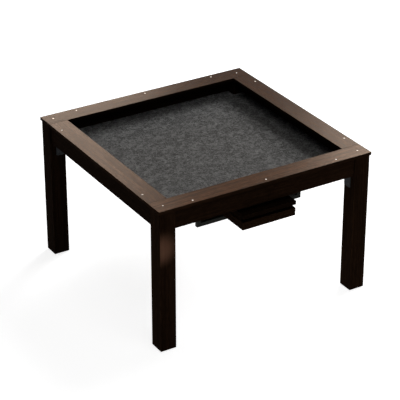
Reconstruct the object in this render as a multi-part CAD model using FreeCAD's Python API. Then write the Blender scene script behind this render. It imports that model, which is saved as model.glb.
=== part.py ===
import FreeCAD, Part
import math
import os

# Square board game table in dark stained wood. A flat rim stands on four legs and four aprons,
# and a felt-covered play floor is sunk between the aprons. Four loose boards, which lie across
# the rim as a dining top, are stacked in two steel hangers under the play floor.
# Millimetres. X runs along the front, -Y is the front, +Z is up, and the origin is on the
# ground under the middle of the table.

# Whole table
table_length = 1200.0
table_width = 1200.0
table_height = 764.0

# Rim boards, laid flat and butted at the corners
rim_width = 103.0
rim_thickness = 16.0
rim_overhang = 6.0

# Legs and the glides nailed under them
leg_side = 85.0
leg_ease = 2.0
glide_height = 4.0
glide_radius = 14.0
glide_ease = 1.2
glide_pin_radius = 2.0
glide_pin_length = 14.0

# Aprons, tenoned into the legs and rebated along their lower inside edge for the play panel
apron_thickness = 20.0
apron_height = 99.0
apron_setback = 8.5
rebate_width = 10.0
tenon_thickness = 10.0
tenon_length = 30.0
tenon_shoulder = 10.0
tenon_gap = 0.2
mortise_spare_depth = 2.0

# Play floor: a plywood panel with felt laid on it
panel_thickness = 12.0
panel_gap = 0.5
felt_thickness = 3.0

# Loose cover boards, stacked by hand in the hangers, from the uppermost down. Each lies a share of
# the two slips off the middle of the table, along X and along Y.
board_thickness = 20.0
board_gap = 0.3
board_slip_x = 6.0
board_slip_y = 15.0
board_slip_shares = ((0.1, -1.0), (0.9, 1.0), (0.4, -0.6), (0.2, -0.6))

# Hangers: U frames of square steel tube, each end welded to a plate under the panel
hanger_width = 596.0
hanger_setback = 170.0
hanger_clear_height = 101.5
tube_side = 20.0
tube_wall = 2.0
hanger_plate_length = 76.0
hanger_plate_width = 26.0
hanger_screw_share = 0.34

# Angle brackets, folded from steel plate, between the legs and the panel
plate_thickness = 3.0
bracket_flange = 75.0
bracket_width = 50.0
bracket_bend_radius = 3.0
bracket_corner_radius = 8.0
bracket_inset = 3.0
bracket_hole_shares = ((0.42, 0.28), (0.76, 0.72))

# Countersunk wood screws, tapered to a point. Screws and glides are drawn with flat sides, not
# round ones, which keeps the many small pieces light.
screw_sides = 16
glide_sides = 24
screw_shank_radius = 2.0
screw_clearance = 0.1
rim_screw_head_radius = 4.0
rim_screw_length = 45.0
rim_screw_corner_inset = 50.0
rim_screw_end_distance = 104.0
leg_screw_length = 28.0
panel_screw_length = 14.0

# Softened edges of the boards, and the overrun of every cut
wood_ease = 1.2
overrun = 5.0

# Levels and half widths that the pieces share
rim_bottom = table_height - rim_thickness
apron_bottom = rim_bottom - apron_height
panel_top = apron_bottom + panel_thickness
half_length = table_length / 2
half_width = table_width / 2
leg_setback = rim_overhang + leg_side
hanger_bottom = apron_bottom - plate_thickness - hanger_clear_height - tube_side
hanger_reach = half_width - hanger_setback
board_count = len(board_slip_shares)
board_width = table_length / board_count
plate_screw_head_radius = screw_shank_radius + plate_thickness

UP = FreeCAD.Vector(0, 0, 1)
EAST = FreeCAD.Vector(1, 0, 0)
NORTH = FreeCAD.Vector(0, 1, 0)
QUARTER_TURN = 90
HALF_TURN = 180
aligned_share = 0.999

# Each side is made as if it were the front one, then turned about +Z:
# its turn in degrees, its length, and the table's size across it
sides = {
    "front": (0, table_length, table_width),
    "right": (QUARTER_TURN, table_width, table_length),
    "back": (HALF_TURN, table_length, table_width),
    "left": (-QUARTER_TURN, table_width, table_length),
}
corners = {
    "front_left": (-1, -1),
    "front_right": (1, -1),
    "back_left": (-1, 1),
    "back_right": (1, 1),
}
# The two legs that each side stands between, the one at its -X end first
side_ends = {
    "front": ("front_left", "front_right"),
    "right": ("front_right", "back_right"),
    "back": ("back_right", "back_left"),
    "left": ("back_left", "front_left"),
}
nodes = {}


def box(low, high):
    """A box between two corners."""
    size = [b - a for a, b in zip(low, high)]
    return Part.makeBox(*size, FreeCAD.Vector(*low))


def placed(x, y, z, axis=UP, degrees=0):
    """A place in the table, turned about an axis."""
    return FreeCAD.Placement(FreeCAD.Vector(x, y, z), FreeCAD.Rotation(axis, degrees))


def moved(shape, place):
    """A copy of a shape that is carried to a place."""
    copy = shape.copy()
    copy.Placement = place.multiply(copy.Placement)
    return copy


def edges_along(shape, direction):
    """The straight edges of a shape that run along a direction."""
    straight = [edge for edge in shape.Edges if isinstance(edge.Curve, Part.Line)]
    return [edge for edge in straight if abs(edge.Curve.Direction.dot(direction)) > aligned_share]


def eased_board(low, high, axes=(EAST, NORTH, UP), ease=wood_ease):
    """A sawn board whose edges along the given axes are softened."""
    board = box(low, high)
    edges = [edge for axis in axes for edge in edges_along(board, axis)]
    return board.makeChamfer(ease, edges)


def ring(radius, height, sides):
    """The corners of a level polygon about Z, or its middle alone where it has no radius."""
    if radius == 0:
        return [FreeCAD.Vector(0, 0, height)] * sides
    turns = [2 * math.pi * step / sides for step in range(sides)]
    return [FreeCAD.Vector(radius * math.cos(a), radius * math.sin(a), height) for a in turns]


def turned(sections, sides):
    """A solid about Z with flat sides between its (radius, height) sections, from the top down."""
    rings = [ring(radius, height, sides) for radius, height in sections]
    outlines = []
    for upper, lower in zip(rings, rings[1:]):
        for step in range(sides):
            quad = [upper[step - 1], lower[step - 1], lower[step], upper[step]]
            outlines.append([p for p, before in zip(quad, quad[-1:] + quad) if p != before])
    if sections[0][0] > 0:
        outlines.append(rings[0])
    if sections[-1][0] > 0:
        outlines.append(rings[-1][::-1])
    faces = [Part.Face(Part.makePolygon(outline + outline[:1])) for outline in outlines]
    return Part.makeSolid(Part.makeShell(faces))


def screw(length, head_radius):
    """A countersunk screw with the middle of its head at the origin and its point down."""
    head_height = head_radius - screw_shank_radius
    return turned([(head_radius, 0), (screw_shank_radius, -head_height), (0, -length)], screw_sides)


def screw_hole(length, head_radius):
    """The tapered, countersunk hole that takes a screw."""
    head_height = head_radius - screw_shank_radius
    mouth = head_radius + screw_clearance
    return turned([
        (mouth, overrun),
        (mouth, 0),
        (screw_shank_radius + screw_clearance, -head_height),
        (0, -length - screw_clearance),
    ], screw_sides)


def drilled(shape, holes):
    """A piece with those holes cut in it that reach it."""
    near = [hole for hole in holes if shape.BoundBox.intersect(hole.BoundBox)]
    return shape.cut(near) if near else shape


def tenon(run, across, end, gap=0.0, spare=0.0):
    """The tenon at one end of an apron, or with a gap and spare depth its mortise."""
    shoulder = end * (run / 2 - leg_setback)
    tip = shoulder + end * (tenon_length + spare)
    middle = rim_overhang + apron_setback + apron_thickness / 2 - across / 2
    reach = tenon_thickness / 2 + gap
    low = (min(shoulder, tip), middle - reach, panel_top + tenon_shoulder - gap)
    high = (max(shoulder, tip), middle + reach, rim_bottom - tenon_shoulder + gap)
    return box(low, high)


def apron(run, across):
    """An apron of the front side, with its tenons and its rebate."""
    half = run / 2 - leg_setback
    outer = rim_overhang + apron_setback - across / 2
    inner = outer + apron_thickness
    board = eased_board((-half, outer, apron_bottom), (half, inner, rim_bottom), (EAST,))
    rebate = box((-half - overrun, inner - rebate_width, apron_bottom - overrun),
                 (half + overrun, inner + overrun, panel_top))
    board = board.cut(rebate)
    return board.fuse([tenon(run, across, end) for end in (-1, 1)]).removeSplitter()


def rim_board(run, across, runs_through):
    """A rim board of the front side, which runs through the corners or stops between them."""
    half = run / 2 if runs_through else run / 2 - rim_width
    return eased_board((-half, -across / 2, rim_bottom),
                       (half, rim_width - across / 2, table_height))


def rim_screw_places(run, across, runs_through):
    """Where the screws of a rim board of the front side stand: over the apron and in the legs."""
    apron_middle = rim_overhang + apron_setback + apron_thickness / 2 - across / 2
    reach = run / 2 - leg_setback - rim_screw_end_distance
    spots = [(-reach, apron_middle), (reach, apron_middle)]
    if runs_through:
        corner = run / 2 - rim_screw_corner_inset
        spots += [(0, apron_middle)]
        spots += [(end * corner, rim_screw_corner_inset - across / 2) for end in (-1, 1)]
    return [placed(x, y, table_height) for x, y in spots]


def angle_bracket():
    """A folded bracket: one flange hangs down in the plane X = 0, the other runs along +X under Z = 0."""
    bend = bracket_bend_radius + plate_thickness
    slant = 0.5 ** 0.5
    outer_middle = FreeCAD.Vector(bend * (1 - slant), 0, -bend * (1 - slant))
    inner_gap = bend - bracket_bend_radius * slant
    inner_middle = FreeCAD.Vector(inner_gap, 0, -inner_gap)
    outer = [FreeCAD.Vector(0, 0, -bracket_flange), FreeCAD.Vector(0, 0, -bend),
             FreeCAD.Vector(bend, 0, 0), FreeCAD.Vector(bracket_flange, 0, 0)]
    inner = [FreeCAD.Vector(bracket_flange, 0, -plate_thickness), FreeCAD.Vector(bend, 0, -plate_thickness),
             FreeCAD.Vector(plate_thickness, 0, -bend), FreeCAD.Vector(plate_thickness, 0, -bracket_flange)]
    outline = Part.Wire([
        Part.makeLine(outer[0], outer[1]),
        Part.Arc(outer[1], outer_middle, outer[2]).toShape(),
        Part.makeLine(outer[2], outer[3]),
        Part.makeLine(outer[3], inner[0]),
        Part.makeLine(inner[0], inner[1]),
        Part.Arc(inner[1], inner_middle, inner[2]).toShape(),
        Part.makeLine(inner[2], inner[3]),
        Part.makeLine(inner[3], outer[0]),
    ])
    plate = Part.Face(outline).extrude(NORTH * bracket_width)
    ends = [edge for edge in edges_along(plate, UP) + edges_along(plate, EAST)
            if edge.Length < 2 * plate_thickness]
    return plate.makeFillet(bracket_corner_radius, ends)


def bracket_screw_places():
    """Where the screws of a bracket stand: those into the leg, and those up into the panel."""
    spots = [(bracket_flange * along, bracket_width * over) for along, over in bracket_hole_shares]
    into_leg = [placed(plate_thickness, over, -along, NORTH, QUARTER_TURN) for along, over in spots]
    into_panel = [placed(along, over, -plate_thickness, EAST, HALF_TURN) for along, over in spots]
    return into_leg, into_panel


def bracket_places(run, across):
    """Where the two brackets along the front side stand, the one at its -X end first."""
    face = run / 2 - leg_setback
    edge = leg_setback - across / 2 - bracket_inset
    return (placed(-face, edge - bracket_width, apron_bottom),
            placed(face, edge, apron_bottom, UP, HALF_TURN))


def notched_sheet(inset, notch_gap, bottom, thickness):
    """A sheet that fills the table to an inset from its edges and is notched round the legs."""
    far_x, far_y = half_length - inset, half_width - inset
    near_x, near_y = half_length - leg_setback - notch_gap, half_width - leg_setback - notch_gap
    quarter = [(far_x, near_y), (near_x, near_y), (near_x, far_y)]
    outline = quarter
    outline = outline + [(-x, y) for x, y in reversed(quarter)]
    outline = outline + [(-x, -y) for x, y in quarter]
    outline = outline + [(x, -y) for x, y in reversed(quarter)]
    points = [FreeCAD.Vector(x, y, bottom) for x, y in outline]
    return Part.Face(Part.makePolygon(points + points[:1])).extrude(UP * thickness)


def hanger_tube():
    """A U of square tube, open at its two top ends, in the plane Y = 0."""
    outer_half, top = hanger_width / 2, apron_bottom - plate_thickness

    def u_shape(inset):
        far, near = outer_half - inset, outer_half - tube_side + inset
        low, floor = hanger_bottom + inset, hanger_bottom + tube_side - inset
        rise = top + inset
        outline = [(-far, low), (far, low), (far, rise), (near, rise),
                   (near, floor), (-near, floor), (-near, rise), (-far, rise)]
        points = [FreeCAD.Vector(x, inset - tube_side / 2, z) for x, z in outline]
        return Part.Face(Part.makePolygon(points + points[:1])).extrude(NORTH * (tube_side - 2 * inset))

    return u_shape(0.0).cut(u_shape(tube_wall))


def hanger_plate(end):
    """The plate on one end of a hanger, in the plane Y = 0, under the panel."""
    middle = end * (hanger_width - tube_side) / 2
    return box((middle - hanger_plate_width / 2, -hanger_plate_length / 2, apron_bottom - plate_thickness),
               (middle + hanger_plate_width / 2, hanger_plate_length / 2, apron_bottom))


def hanger_screw_places(end):
    """Where the two screws of a hanger's plate stand, heads down."""
    middle = end * (hanger_width - tube_side) / 2
    reach = hanger_plate_length * hanger_screw_share
    return [placed(middle, way * reach, apron_bottom - plate_thickness, EAST, HALF_TURN) for way in (-1, 1)]


def glide(gap=0.0):
    """A round glide with its nail, under the origin at its foot, or the hole for its nail."""
    nail = glide_pin_radius + gap
    tip = glide_height + glide_pin_length
    if gap:
        return turned([(0, tip + gap), (nail, glide_height), (nail, -overrun)], glide_sides)
    return turned([(0, tip), (nail, glide_height), (glide_radius, glide_height),
                   (glide_radius, glide_ease), (glide_radius - glide_ease, 0)], glide_sides)


# Screws and the holes that they leave, gathered before the pieces that they pass through
rim_screws, bracket_screws, hanger_screws = [], [], []
screw_holes = []


def drive(screws, length, head_radius, places):
    """Adds a screw at each place to a group, and its hole to the holes of the table."""
    for place in places:
        screws.append(moved(screw(length, head_radius), place))
        screw_holes.append(moved(screw_hole(length, head_radius), place))


into_leg, into_panel = bracket_screw_places()
brackets, mortises = {}, []
for side, (degrees, run, across) in sides.items():
    turn = placed(0, 0, 0, UP, degrees)
    through = side in ("front", "back")
    seats = [turn.multiply(place) for place in rim_screw_places(run, across, through)]
    drive(rim_screws, rim_screw_length, rim_screw_head_radius, seats)
    mortises += [moved(tenon(run, across, end, tenon_gap, mortise_spare_depth), turn) for end in (-1, 1)]
    for corner, place in zip(side_ends[side], bracket_places(run, across)):
        seat = turn.multiply(place)
        brackets["bracket_%s_along_%s" % (corner, side)] = moved(angle_bracket(), seat)
        leg_seats = [seat.multiply(spot) for spot in into_leg]
        panel_seats = [seat.multiply(spot) for spot in into_panel]
        drive(bracket_screws, leg_screw_length, plate_screw_head_radius, leg_seats)
        drive(bracket_screws, panel_screw_length, plate_screw_head_radius, panel_seats)

hanger_seats = {"front": placed(0, -hanger_reach, 0), "back": placed(0, hanger_reach, 0)}
for seat in hanger_seats.values():
    for end in (-1, 1):
        places = [seat.multiply(place) for place in hanger_screw_places(end)]
        drive(hanger_screws, panel_screw_length, plate_screw_head_radius, places)

# Rim and aprons
for side, (degrees, run, across) in sides.items():
    turn = placed(0, 0, 0, UP, degrees)
    board = moved(rim_board(run, across, side in ("front", "back")), turn)
    nodes["rim_" + side] = drilled(board, screw_holes)
    nodes["apron_" + side] = drilled(moved(apron(run, across), turn), screw_holes)
nodes["rim_screws"] = Part.makeCompound(rim_screws)

# Legs and glides
for corner, (sign_x, sign_y) in corners.items():
    middle_x = sign_x * (half_length - rim_overhang - leg_side / 2)
    middle_y = sign_y * (half_width - rim_overhang - leg_side / 2)
    low = (middle_x - leg_side / 2, middle_y - leg_side / 2, glide_height)
    high = (middle_x + leg_side / 2, middle_y + leg_side / 2, rim_bottom)
    leg = eased_board(low, high, (UP,), leg_ease)
    foot = placed(middle_x, middle_y, 0)
    nodes["leg_" + corner] = drilled(leg, screw_holes + mortises + [moved(glide(screw_clearance), foot)])
    nodes["glide_" + corner] = moved(glide(), foot)

# Play floor
panel_inset = rim_overhang + apron_setback + apron_thickness - rebate_width + panel_gap
felt_inset = rim_overhang + apron_setback + apron_thickness + panel_gap
panel = notched_sheet(panel_inset, panel_gap, apron_bottom, panel_thickness)
nodes["play_panel"] = drilled(panel, screw_holes)
nodes["play_felt"] = notched_sheet(felt_inset, panel_gap, panel_top, felt_thickness)

# Brackets
for name, bracket in brackets.items():
    nodes[name] = drilled(bracket, screw_holes)
nodes["bracket_screws"] = Part.makeCompound(bracket_screws)

# Hangers
for side, seat in hanger_seats.items():
    plates = [drilled(moved(hanger_plate(end), seat), screw_holes) for end in (-1, 1)]
    nodes["hanger_" + side] = moved(hanger_tube(), seat)
    nodes["hanger_plates_" + side] = Part.makeCompound(plates)
nodes["hanger_screws"] = Part.makeCompound(hanger_screws)

# Cover boards, counted from the uppermost of the stack
for index, (share_x, share_y) in enumerate(board_slip_shares):
    below = board_count - 1 - index
    bottom = hanger_bottom + tube_side + board_gap + below * (board_thickness + board_gap)
    middle_x, middle_y = share_x * board_slip_x, share_y * board_slip_y
    low = (middle_x - board_width / 2, middle_y - half_width, bottom)
    high = (middle_x + board_width / 2, middle_y + half_width, bottom + board_thickness)
    nodes["cover_board_%d" % (index + 1)] = eased_board(low, high)

os.makedirs("parts", exist_ok=True)
for name, shape in nodes.items():
    shape.exportStep("parts/%s.step" % name)
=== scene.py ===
"""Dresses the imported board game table: stained wood, a felt play floor, and a steel rack of cover boards.

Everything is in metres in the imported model's frame: X runs along the front, -Y is the front, +Z is up.
Pieces that repeat round the table are made as if on the front side, then turned to their own side.
"""
import logging
import math
import random
from dataclasses import dataclass
from enum import Enum
from functools import partial, reduce
from typing import Callable, Dict, Iterable, List, Optional, Sequence, Tuple, TypeVar, Union

import bmesh
import bpy
from bmesh.types import BMEdge, BMFace, BMVert
from mathutils import Matrix, Vector, noise


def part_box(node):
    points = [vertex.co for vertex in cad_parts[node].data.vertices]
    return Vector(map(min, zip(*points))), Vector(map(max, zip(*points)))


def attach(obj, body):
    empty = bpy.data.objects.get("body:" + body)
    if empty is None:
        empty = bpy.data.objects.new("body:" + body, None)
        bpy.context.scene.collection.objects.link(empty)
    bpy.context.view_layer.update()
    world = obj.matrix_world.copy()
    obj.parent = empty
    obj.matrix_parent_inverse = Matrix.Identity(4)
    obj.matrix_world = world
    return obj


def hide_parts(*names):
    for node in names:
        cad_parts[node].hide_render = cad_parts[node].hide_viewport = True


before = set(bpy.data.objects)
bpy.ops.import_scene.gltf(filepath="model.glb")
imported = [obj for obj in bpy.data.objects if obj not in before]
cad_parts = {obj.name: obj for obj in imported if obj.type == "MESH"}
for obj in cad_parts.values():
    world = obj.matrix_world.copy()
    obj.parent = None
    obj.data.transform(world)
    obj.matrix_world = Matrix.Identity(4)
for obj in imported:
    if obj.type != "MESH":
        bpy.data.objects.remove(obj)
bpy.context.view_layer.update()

log = logging.getLogger("board_game_table")

Colour = Tuple[float, float, float]
Place = Tuple[float, float, float]
Socket = bpy.types.NodeSocket
Value = Union[float, Socket]
Feed = Union[Value, Sequence[float]]
Item = TypeVar("Item")

TABLE = "table"

SIDEWARD = Vector((1.0, 0.0, 0.0))
BACKWARD = Vector((0.0, 1.0, 0.0))
UP = Vector((0.0, 0.0, 1.0))
# The two ways along an axis.
ENDS = (-1.0, 1.0)
# The turn of a screw that is driven from below.
HEADS_DOWN = Matrix.Rotation(math.pi, 4, "X")
WHITE = (1.0, 1.0, 1.0)

# How near two points or heights count as the same, and how near a point counts as lying on a face.
NEAR = 1e-6
FACE_NEAR = 1e-5
# How near a cut counts as going through a point that is there already.
CUT_NEAR = 1e-7
# The least cosine between the normals of faces that look the same way.
SAME_WAY = 0.999
# The angle in degrees up to which the edges of a round piece look round.
ROUND_UNDER = 35.0

# The attributes of a wooden piece: the place in its plank, and its painted light and shade.
GRAIN = "grain"
SHADE = "shade"
# How far neighbouring planks lie apart along, across and through the grain.
PLANK_STEPS = (1.71, 0.137, 0.071)
# Painted light and shade: pieces painted paler (above 0) where more light falls on them, or darker (below 0)
# where they lie in shade.
PAINTED_PLANK_LIGHT = {
    "rim_front": 0.09, "rim_right": -0.09, "rim_back": -0.08,
    "apron_left": -0.30, "leg_back_left": -0.28,
    "cover_board_1": -0.40, "cover_board_2": -0.20, "cover_board_3": 0.03, "cover_board_4": 0.06,
}


class Turned(Enum):
    """A place round the table, with the turn about +Z that carries the first place to it."""

    def __init__(self, label: str, degrees: float) -> None:
        """Keeps the place's name in the frame and its turn."""
        self.label = label
        self.turn = Matrix.Rotation(math.radians(degrees), 4, "Z")


class Side(Turned):
    """A side of the table."""

    FRONT = ("front", 0.0)
    RIGHT = ("right", 90.0)
    BACK = ("back", 180.0)
    LEFT = ("left", 270.0)

    @property
    def runs_through(self) -> bool:
        """Whether the rim board of this side runs through the corners."""
        return self in (Side.FRONT, Side.BACK)


class Corner(Turned):
    """A corner of the table."""

    FRONT_LEFT = ("front_left", 0.0)
    FRONT_RIGHT = ("front_right", 90.0)
    BACK_RIGHT = ("back_right", 180.0)
    BACK_LEFT = ("back_left", 270.0)


class Grain(Enum):
    """The axis that the grain of a board follows, as the order in which its coordinates are read."""

    ALONG_X = (0, 1, 2)
    ALONG_Y = (1, 0, 2)
    ALONG_Z = (2, 0, 1)


class Coat(Enum):
    """Which finish a face of a wooden piece takes, as its place in the list of materials."""

    SAWN = 0
    WORN = 1
    # A satin coat whose paler colours are painted sheen.
    SATIN_PAINTED_SHEEN = 2
    # A painted highlight on the stain.
    PAINTED_HIGHLIGHT = 3


class Wiring:
    """The nodes of a material or of the world, in the making."""

    def __init__(self, tree: bpy.types.NodeTree) -> None:
        """Starts with an empty tree."""
        self.tree = tree
        tree.nodes.clear()

    def feed(self, target: Socket, value: Feed) -> None:
        """Wires a socket to another, or sets a constant on it.

        Args:
            target: The socket that is fed.
            value: A socket, a number, a vector or a colour.
        """
        if isinstance(value, bpy.types.NodeSocket):
            self.tree.links.new(value, target)
        elif target.type == "RGBA":
            target.default_value = (*value, 1.0)
        else:
            target.default_value = value

    def make(self, kind: str, output: Union[int, str], inputs: Dict[Union[int, str], Feed],
             **settings: object) -> Socket:
        """Adds a node and feeds it.

        Args:
            kind: The node's type.
            output: Which of its outputs is wanted.
            inputs: What its inputs are fed, by name or number.
            settings: Properties to set on it.

        Returns:
            That output.
        """
        node = self.tree.nodes.new(kind)
        for key, value in settings.items():
            setattr(node, key, value)
        for key, value in inputs.items():
            self.feed(node.inputs[key], value)
        return node.outputs[output]

    def reckon(self, operation: str, *numbers: Value) -> Socket:
        """Works out one number from one or two others."""
        return self.make("ShaderNodeMath", 0, dict(enumerate(numbers)), operation=operation)

    def sum(self, *numbers: Value) -> Socket:
        """Adds numbers up."""
        return reduce(partial(self.reckon, "ADD"), numbers)

    def times(self, first: Value, second: Value) -> Socket:
        """Multiplies two numbers."""
        return self.reckon("MULTIPLY", first, second)

    def spread(self, value: Socket, low: float, high: float, to_low: float = 0.0, to_high: float = 1.0,
               course: str = "LINEAR") -> Socket:
        """Carries the range of a number from low to high onto another range, and stops at its ends."""
        inputs = dict(enumerate((value, low, high, to_low, to_high)))
        return self.make("ShaderNodeMapRange", 0, inputs, interpolation_type=course)

    def seen(self) -> Socket:
        """Tells what is seen, straight or in glass and metal, from what only lights.

        Returns:
            1 for rays that see, 0 for rays that light.
        """
        path = self.tree.nodes.new("ShaderNodeLightPath").outputs
        value = path["Is Camera Ray"]
        for name in ("Is Glossy Ray", "Is Transmission Ray"):
            value = self.reckon("MAXIMUM", value, path[name])
        return value


class Shader(Wiring):
    """A material in the making: one principled shader and the nodes that feed it."""

    def __init__(self, name: str) -> None:
        """Starts an empty material.

        Args:
            name: The material's name.
        """
        self.material = bpy.data.materials.new(name)
        self.material.use_nodes = True
        super().__init__(self.material.node_tree)
        self.output = self.tree.nodes.new("ShaderNodeOutputMaterial")
        self.surface = self.tree.nodes.new("ShaderNodeBsdfPrincipled")
        self.feed(self.output.inputs["Surface"], self.surface.outputs["BSDF"])

    def finish(self, **sockets: Feed) -> bpy.types.Material:
        """Feeds the principled shader.

        Args:
            sockets: Values by socket name, with underscores for spaces.

        Returns:
            The finished material.
        """
        for key, value in sockets.items():
            self.feed(self.surface.inputs[key.replace("_", " ")], value)
        return self.material

    def own_place(self) -> Socket:
        """The object's own coordinates."""
        return self.make("ShaderNodeTexCoord", "Object", {})

    def attribute(self, name: str, output: str) -> Socket:
        """What is written on the mesh under a name."""
        return self.make("ShaderNodeAttribute", output, {}, attribute_name=name)

    def stretch(self, place: Socket, scale: Sequence[float], turn: float = 0.0) -> Socket:
        """Scales coordinates by axis, and turns them so many degrees about Z."""
        return self.make("ShaderNodeMapping", "Vector", {
            "Vector": place, "Scale": scale, "Rotation": (0.0, 0.0, math.radians(turn))})

    def away(self, middle: Place, reach: Place) -> Socket:
        """How far a point of the object lies from the middle of a spot, where 1 is the spot's border.

        Args:
            middle: The middle of the spot.
            reach: How far it reaches along each axis.

        Returns:
            The distance.
        """
        kind = "ShaderNodeVectorMath"
        offset = self.make(kind, "Vector", {0: self.own_place(), 1: middle}, operation="SUBTRACT")
        share = self.make(kind, "Vector", {0: offset, 1: reach}, operation="DIVIDE")
        return self.make(kind, "Value", {0: share}, operation="LENGTH")

    def noise(self, place: Socket, scale: float = 1.0, detail: float = 3.0, roughness: float = 0.5,
              distortion: float = 0.0) -> Socket:
        """Cloudy noise from 0 to 1, so many clouds to a unit, with finer layers and stirred so far."""
        return self.make("ShaderNodeTexNoise", "Fac", {
            "Vector": place, "Scale": scale, "Detail": detail, "Roughness": roughness,
            "Distortion": distortion})

    def streaks(self, place: Socket, along: float, across: float, **settings: float) -> Socket:
        """Noise that is drawn out along the grain, with so many clouds to a unit along and across it."""
        return self.noise(self.stretch(place, (along, across, across)), **settings)

    def rings(self, place: Socket, scale: float, distortion: float) -> Socket:
        """Growth rings from 0 to 1 about the line along the grain, that lie so close and wander so far."""
        inputs = {"Vector": place, "Scale": scale, "Distortion": distortion, "Detail": 3.0}
        return self.make("ShaderNodeTexWave", "Fac", inputs, wave_type="RINGS", rings_direction="X",
                         wave_profile="SAW")

    def cells(self, place: Socket, scale: float) -> Socket:
        """A grey of its own for each of many small cells, so many to a unit."""
        return self.make("ShaderNodeTexVoronoi", "Color", {"Vector": place, "Scale": scale})

    def blend(self, share: Value, first: Union[Socket, Colour], second: Union[Socket, Colour]) -> Socket:
        """Mixes two colours, with such a share of the second."""
        return self.make("ShaderNodeMix", 2, {0: share, 6: first, 7: second}, data_type="RGBA")

    def bump(self, height: Socket, strength: float, depth: float) -> Socket:
        """Bent normals from a height, where a height of 1 is so deep and so much of it shows."""
        return self.make("ShaderNodeBump", "Normal", {
            "Height": height, "Strength": strength, "Distance": depth})


@dataclass(frozen=True)
class PaintedHighlight:
    """A soft painted highlight: a paler patch painted on a face where light glances off it.

    Attributes:
        middle: Its middle.
        reach: How far it reaches along each axis.
        colour: The colour of the painted highlight.
    """

    middle: Place
    reach: Place
    colour: Colour


@dataclass(frozen=True)
class StainedWood:
    """Open-pored wood under a dark stain. Its pattern follows the grain of each piece.

    Attributes:
        name: The material's name.
        deep: The colour in the pores and the late wood.
        body: The colour between them.
        pale: The colour of the palest streaks.
        roughness: How matt the finish is.
        gloss: The shader's specular level.
        bare: How much of the stain is rubbed off, in patches.
        bare_wood: The colour under the stain.
        spot: A painted highlight, if there is one.
    """

    name: str
    deep: Colour = (0.0052, 0.0025, 0.0012)
    body: Colour = (0.0125, 0.0061, 0.0031)
    pale: Colour = (0.0260, 0.0124, 0.0064)
    roughness: float = 0.55
    gloss: float = 0.0015
    bare: float = 0.0
    bare_wood: Colour = (0.105, 0.060, 0.032)
    spot: Optional[PaintedHighlight] = None

    def material(self) -> bpy.types.Material:
        """Makes the material.

        Returns:
            The material.
        """
        shader = Shader(self.name)
        place = shader.attribute(GRAIN, "Vector")
        figure = shader.streaks(place, 1.1, 13.0, distortion=0.7)
        streak = shader.streaks(place, 3.2, 105.0, detail=4.0, roughness=0.6)
        fibre = shader.streaks(place, 18.0, 640.0, roughness=0.62)
        fleck = shader.streaks(place, 24.0, 190.0, detail=4.0, roughness=0.72)
        pores = shader.streaks(place, 24.0, 820.0, detail=1.0)
        rings = shader.rings(shader.stretch(place, (0.12, 1.0, 1.0)), 34.0, 5.0)
        tone = shader.sum(
            shader.spread(figure, 0.30, 0.70, 0.0, 0.20),
            shader.spread(streak, 0.30, 0.70, 0.0, 0.34),
            shader.spread(fleck, 0.36, 0.64, 0.0, 0.32),
            shader.spread(fibre, 0.34, 0.66, 0.0, 0.16),
            shader.spread(rings, 0.0, 1.0, 0.0, 0.06),
            # The piece's painted light and shade, which lightens or darkens its whole tone.
            shader.attribute(SHADE, "Fac"),
        )
        colour = shader.blend(shader.spread(tone, 0.12, 0.52), self.deep, self.body)
        colour = shader.blend(shader.spread(tone, 0.50, 0.90), colour, self.pale)
        open_pore = shader.spread(pores, 0.60, 0.70)
        colour = shader.blend(shader.times(open_pore, 0.6), colour, self.deep)
        if self.bare:
            rub = shader.streaks(place, 9.0, 60.0, detail=4.0, roughness=0.65)
            colour = shader.blend(shader.spread(rub, 0.46, 0.66, 0.0, self.bare), colour, self.bare_wood)
        # A painted highlight: a soft paler patch in place of light glancing off the face.
        if self.spot:
            away = shader.away(self.spot.middle, self.spot.reach)
            highlight_share = shader.spread(away, 0.15, 1.0, 1.0, 0.0, "SMOOTHSTEP")
            highlight_share = shader.times(highlight_share, shader.spread(streak, 0.3, 0.7, 0.8, 1.0))
            colour = shader.blend(highlight_share, colour, self.spot.colour)
        rough = shader.spread(tone, 0.2, 0.9, self.roughness + 0.06, self.roughness - 0.05)
        height = shader.sum(fibre, shader.times(open_pore, -0.8))
        return shader.finish(
            Base_Color=colour,
            Roughness=shader.sum(rough, shader.times(open_pore, 0.2)),
            Specular_IOR_Level=self.gloss,
            Normal=shader.bump(height, 0.25, 0.0002),
        )


@dataclass(frozen=True)
class WoolFelt:
    """Heathered felt: matted fibres of several greys, with pale flecks.

    Attributes:
        dark: The darkest wool.
        pale: The palest wool.
        fleck: The colour of the stray pale fibres.
    """

    dark: Colour = (0.0405, 0.0403, 0.0394)
    pale: Colour = (0.228, 0.227, 0.2225)
    fleck: Colour = (0.290, 0.288, 0.282)

    def material(self) -> bpy.types.Material:
        """Makes the material.

        Returns:
            The material.
        """
        shader = Shader("charcoal felt")
        place = shader.own_place()
        mottle = shader.noise(place, 34.0, detail=2.0, roughness=0.6, distortion=1.0)
        heather = shader.noise(place, 80.0, detail=4.0, roughness=0.75, distortion=2.2)
        ways = [shader.stretch(place, (260.0, 1900.0, 900.0), turn) for turn in (33.0, -41.0)]
        fibres = shader.reckon("MAXIMUM", *(shader.noise(way, detail=2.0) for way in ways))
        tone = shader.sum(
            shader.spread(mottle, 0.44, 0.66, 0.0, 0.46),
            shader.spread(heather, 0.47, 0.64, 0.0, 0.80),
            shader.spread(fibres, 0.42, 0.72, 0.0, 0.34),
        )
        colour = shader.blend(shader.spread(tone, 0.10, 1.10), self.dark, self.pale)
        flecks = shader.spread(shader.noise(place, 520.0, detail=2.0), 0.68, 0.78)
        height = shader.sum(fibres, shader.times(heather, 0.7))
        return shader.finish(
            Base_Color=shader.blend(shader.times(flecks, 0.55), colour, self.fleck),
            Roughness=0.95,
            Specular_IOR_Level=0.02,
            Sheen_Weight=0.03,
            Sheen_Roughness=0.6,
            Normal=shader.bump(height, 0.5, 0.0007),
        )


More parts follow.
